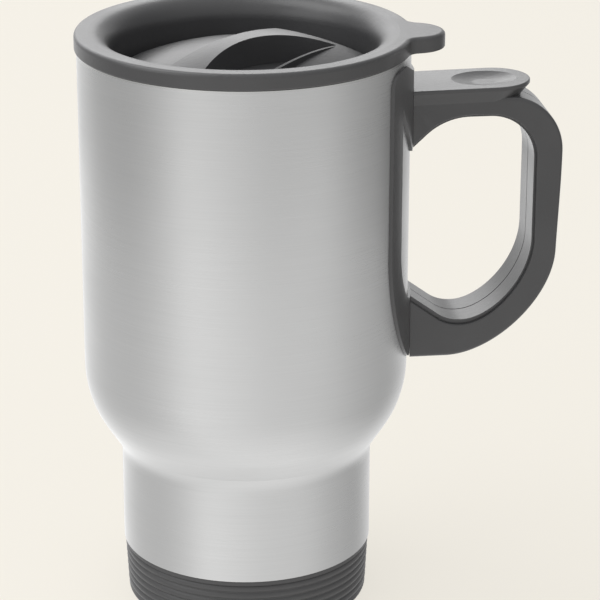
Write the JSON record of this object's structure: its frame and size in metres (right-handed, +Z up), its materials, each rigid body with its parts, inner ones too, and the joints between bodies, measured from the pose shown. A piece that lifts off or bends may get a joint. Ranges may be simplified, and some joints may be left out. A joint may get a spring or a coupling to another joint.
{
  "type": "insulated travel mug",
  "caption": "Steel-walled travel mug that steps in to a cup-holder foot, with a bolted-on side handle, push-in lid and twist closure.",
  "frame": {"origin": "centre of the base on the mug's axis, on the surface it stands on", "axes": "+Z up along the mug's axis, +X towards the handle"},
  "size_m": [0.1293, 0.0892, 0.16],
  "materials": {
    "outer_steel": "brushed round the axis",
    "liner_steel": "fine satin",
    "hardware_steel": "plain",
    "base_plastic": "fine grain",
    "handle_plastic": "fine grain, satin",
    "lid_plastic": "satin",
    "dial_plastic": "satin",
    "washer_plastic": "natural",
    "seal_rubber": "soft"
  },
  "bodies": {
    "cup": {"outer_shell": "outer_steel", "inner_liner": "liner_steel", "shell_floor": "liner_steel", "base_cap": "base_plastic", "handle_saddle": "handle_plastic", "handle_half_left": "handle_plastic", "handle_half_right": "handle_plastic", "thumb_rest": "handle_plastic", "handle_screws": "hardware_steel", "backing_plates": "hardware_steel"},
    "lid": {"lid_body": "lid_plastic", "lid_gasket": "seal_rubber"},
    "closure": {"closure_dial": "dial_plastic", "closure_seal": "seal_rubber", "pivot_washer": "washer_plastic", "pivot_clip": "hardware_steel"}
  },
  "joints": [
    {"name": "lid_lift", "type": "slide", "parent": "cup", "child": "lid", "axis": [0, 0, 1], "range_m": [0, 0.03]},
    {"name": "closure_turn", "type": "hinge", "parent": "lid", "child": "closure", "pos_m": [0, 0, 0.1455], "axis": [0, 0, 1], "range_deg": [0, 60]}
  ]
}
